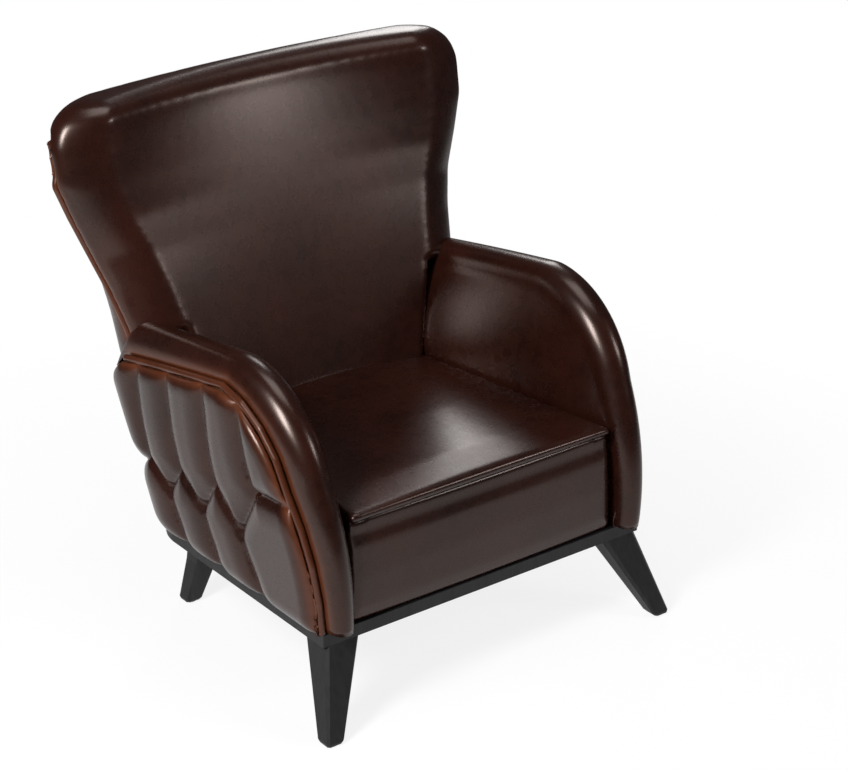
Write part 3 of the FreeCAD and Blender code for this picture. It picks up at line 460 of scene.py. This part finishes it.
def arm_cover(name, side):
    """Leather of one arm: rolled front and top, and the inner face down to the seat."""
    columns = []
    for k in range(ROLL_TURNS + 1):
        turn = math.pi * k / ROLL_TURNS
        swell = 1.0 - math.sin(turn)
        share = 0.5 + 0.5 * math.cos(turn)
        insets = [inset * swell for inset in PIPE_INSET]
        if share < 0.5:
            insets = [ARM_ROLL * swell * 0.7] * 2 + [ARM_ROLL * swell] * 5
        column = []
        line = arm_edge(0.0, insets)
        y_last, z_last = line[-1]
        for step in (0.25, 0.5, 0.75, 1.0):
            line.append((y_last + ARM_TAIL * step,
                         z_last + (BELT_Z + 6.0 - z_last) * step ** 1.5))
        for y, z in line:
            outer = ARM_OUTER + ARM_FLARE * (z - BASE)
            column.append((ARM_INNER + share * (outer - ARM_INNER), y, z))
        columns.append(column)
    brow = columns[-1]
    for k in range(1, WALL_DROPS + 1):
        column = []
        for x, y, top in brow:
            z = top + (BASE - top) * k / WALL_DROPS
            rise = max((z - SEAT_HEIGHT) / max(top - SEAT_HEIGHT, 1.0), 0.0)
            low = seat_side(y, z)
            wall = low + (x - low) * min(rise, 1.0) ** 1.5
            front = math.exp(-((y - brow[0][1]) / 60.0) ** 2)
            column.append((wall + (x - wall) * front, y + 6.0 * min(4.0 * k / WALL_DROPS, 1.0), z))
        columns.append(column)
    width = len(brow)
    verts = [Vector((side * x, y - MIDDLE, z)) * MM for column in columns for x, y, z in column]
    faces = []
    for i in range(len(columns) - 1):
        for j in range(width - 1):
            k = i * width + j
            face = (k, k + 1, k + width + 1, k + width)
            faces.append(face if side > 0 else face[::-1])
    return sheet(name, verts, faces, 3)


def sheet(name, verts, faces, rounds):
    """Sheet of leather with a little thickness."""
    thing = mesh_object(name, verts, faces)
    work = bmesh.new()
    work.from_mesh(thing.data)
    bmesh.ops.remove_doubles(work, verts=work.verts, dist=4e-4)
    bmesh.ops.recalc_face_normals(work, faces=work.faces)
    work.to_mesh(thing.data)
    work.free()
    thick = thing.modifiers.new("thick", "SOLIDIFY")
    thick.thickness = SHEET_THICKNESS
    thick.offset = -1.0
    smooth = thing.modifiers.new("round", "SMOOTH")
    smooth.iterations = rounds
    return applied(thing)


# Pieces

SOFT = {
    "inside_back": (0.0052, 16), "seat_pad": (0.0045, 8),
    "seat_front_border": (0.0045, 8), "outside_back_upper": (0.005, 14),
    "arm_piping_left": (0.0018, 6), "arm_piping_right": (0.0018, 6),
    "wing_piping_left": (0.0018, 6), "wing_piping_right": (0.0018, 6),
    "top_piping": (0.0018, 6),
}
DRAWN_TOGETHER = {"inside_back": ("wing_left", "wing_right")}
PADS = ("inside_back", "arm_left", "arm_right", "seat_pad", "seat_front_border",
        "outside_back_upper")

SWELL = {"inside_back": 0.0034}

pieces = {}
for node, (voxel, rounds) in SOFT.items():
    nodes = (node,) + DRAWN_TOGETHER.get(node, ())
    piece = softened(nodes, voxel, rounds, SWELL.get(node, 0.0012))
    pieces[node] = piece
    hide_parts(*nodes)
cover = tufted_cover()
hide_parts("outside_arm_left", "outside_arm_right", "outside_back_tufted")
pieces["tufted_cover"] = cover
for node, side in (("arm_left", -1.0), ("arm_right", 1.0)):
    pieces[node] = arm_cover(node + "_leather", side)
    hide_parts(node)
for vertex in pieces["top_piping"].data.vertices:
    vertex.co.x *= 0.955
for node in ("wing_piping_left", "wing_piping_right"):
    for vertex in pieces[node].data.vertices:
        vertex.co.x *= 1.0 - 0.05 * min(max((vertex.co.z - 0.86) / 0.07, 0.0), 1.0)

# Distance from the piping, which tints the leather
SEAM_REACH = 0.014
seams = []
for node, piece in pieces.items():
    if "piping" in node:
        seams += [v.co.copy() for v in piece.data.vertices][::9]
tree = KDTree(len(seams))
for index, place in enumerate(seams):
    tree.insert(place, index)
tree.balance()

for node, piece in pieces.items():
    values = []
    for vertex in piece.data.vertices:
        distance = tree.find(vertex.co)[2]
        values.append(math.exp(-(distance / SEAM_REACH) ** 2) * (0.3 if "piping" in node else 0.5))
    layer = piece.data.attributes.new("seam", "FLOAT", "POINT")
    layer.data.foreach_set("value", values)
    piece.data.materials.clear()
    piece.data.materials.append(LEATHER)
    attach(piece, "root")
    node in PADS or node == "tufted_cover"

slots = {row["node"]: row["material_slot"] for row in frame["record"]["subparts"]}
for node, slot in slots.items():
    if node in bpy.data.objects:
        thing = bpy.data.objects[node]
        thing.data.materials.clear()
        thing.data.materials.append(SLOT_MATERIALS[slot])


# Stage, light and camera

def stage_box(name, verts, faces, colour):
    thing = mesh_object(name, verts, faces)
    made = Material(name)
    cloud = made.noise(0.8)
    lift = tuple(min(1.0, c * 1.01) for c in colour)
    made.feed("Base Color", made.mix(cloud, colour, lift))
    made.feed("Roughness", 0.9)
    tree = made.tree
    glow = tree.nodes.new("ShaderNodeEmission")
    reach = tree.nodes.new("ShaderNodeVectorMath")
    reach.operation = "LENGTH"
    tree.links.new(made.coords, reach.inputs[0])
    fade = Node(tree, reach.outputs["Value"]).ramp(0.5, 1.5) * 0.15 + 0.85
    near = Node(tree, reach.outputs["Value"]).ramp(1.7, 0.8) * 0.52
    direct = Node(tree, tree.nodes.new("ShaderNodeLightPath").outputs["Is Camera Ray"])
    seen = direct * fade + (direct * -1.0 + 1.0) * near
    blend = tree.nodes.new("ShaderNodeMixShader")
    tree.links.new(seen.socket, blend.inputs[0])
    tree.links.new(made.shader.outputs[0], blend.inputs[1])
    tree.links.new(glow.outputs[0], blend.inputs[2])
    tree.links.new(blend.outputs[0], tree.nodes["Material Output"].inputs["Surface"])
    thing.data.materials.append(made.material)
    return thing


FAR = 3.0
stage_box("floor", [(-FAR, -FAR, 0), (FAR, -FAR, 0), (FAR, FAR, 0), (-FAR, FAR, 0)],
          [(0, 1, 2, 3)], (0.85, 0.85, 0.85))


def area(name, place, target, size, power, colour=(1.0, 1.0, 1.0)):
    data = bpy.data.lights.new(name, "AREA")
    data.shape = "RECTANGLE"
    data.size, data.size_y = size
    data.energy = power
    data.color = colour
    thing = bpy.data.objects.new(name, data)
    bpy.context.scene.collection.objects.link(thing)
    thing.location = place
    thing.rotation_euler = (Vector(target) - Vector(place)).to_track_quat("-Z", "Y").to_euler()


area("key", (-2.6, -0.9, 2.5), (0, 0, 0.5), (0.8, 1.3), 150)
area("front", (1.75, -2.3, 2.0), (0, 0, 0.8), (0.7, 0.6), 22)
area("top", (0.3, -0.1, 3.2), (0, 0, 0.4), (1.4, 1.4), 26)
area("rim", (1.9, 2.2, 2.2), (0, 0, 0.7), (0.8, 1.2), 20)

world = bpy.data.worlds.new("studio")
bpy.context.scene.world = world
world.use_nodes = True
links = world.node_tree.links
nodes = world.node_tree.nodes
background = nodes["Background"]
background.inputs["Color"].default_value = (0.8, 0.8, 0.82, 1.0)
background.inputs["Strength"].default_value = 0.07
white = nodes.new("ShaderNodeBackground")
white.inputs["Color"].default_value = (1.0, 1.0, 1.0, 1.0)
white.inputs["Strength"].default_value = 1.0
path = nodes.new("ShaderNodeLightPath")
blend = nodes.new("ShaderNodeMixShader")
links.new(path.outputs["Is Camera Ray"], blend.inputs[0])
links.new(background.outputs[0], blend.inputs[1])
links.new(white.outputs[0], blend.inputs[2])
links.new(blend.outputs[0], nodes["World Output"].inputs["Surface"])

AZIMUTH = math.radians(-35.4)
ELEVATION = math.radians(24.5)
ROLL = math.radians(-1.0)
DISTANCE = 4.869
TARGET = Vector((0.0, -MIDDLE * MM, 0.4725))
back = Vector((math.sin(AZIMUTH) * math.cos(ELEVATION),
               -math.cos(AZIMUTH) * math.cos(ELEVATION), math.sin(ELEVATION)))
camera_data = bpy.data.cameras.new("camera")
camera_data.sensor_width = 36.0
camera_data.lens = 107.7
camera_data.shift_x = 0.0566
camera_data.shift_y = -0.0070
camera = bpy.data.objects.new("camera", camera_data)
bpy.context.scene.collection.objects.link(camera)
turn = (-back).to_track_quat("-Z", "Y").to_matrix().to_4x4() @ Matrix.Rotation(ROLL, 4, "Z")
camera.matrix_world = Matrix.Translation(TARGET + back * DISTANCE) @ turn
bpy.context.scene.camera = camera
bpy.context.scene.view_settings.view_transform = "Standard"
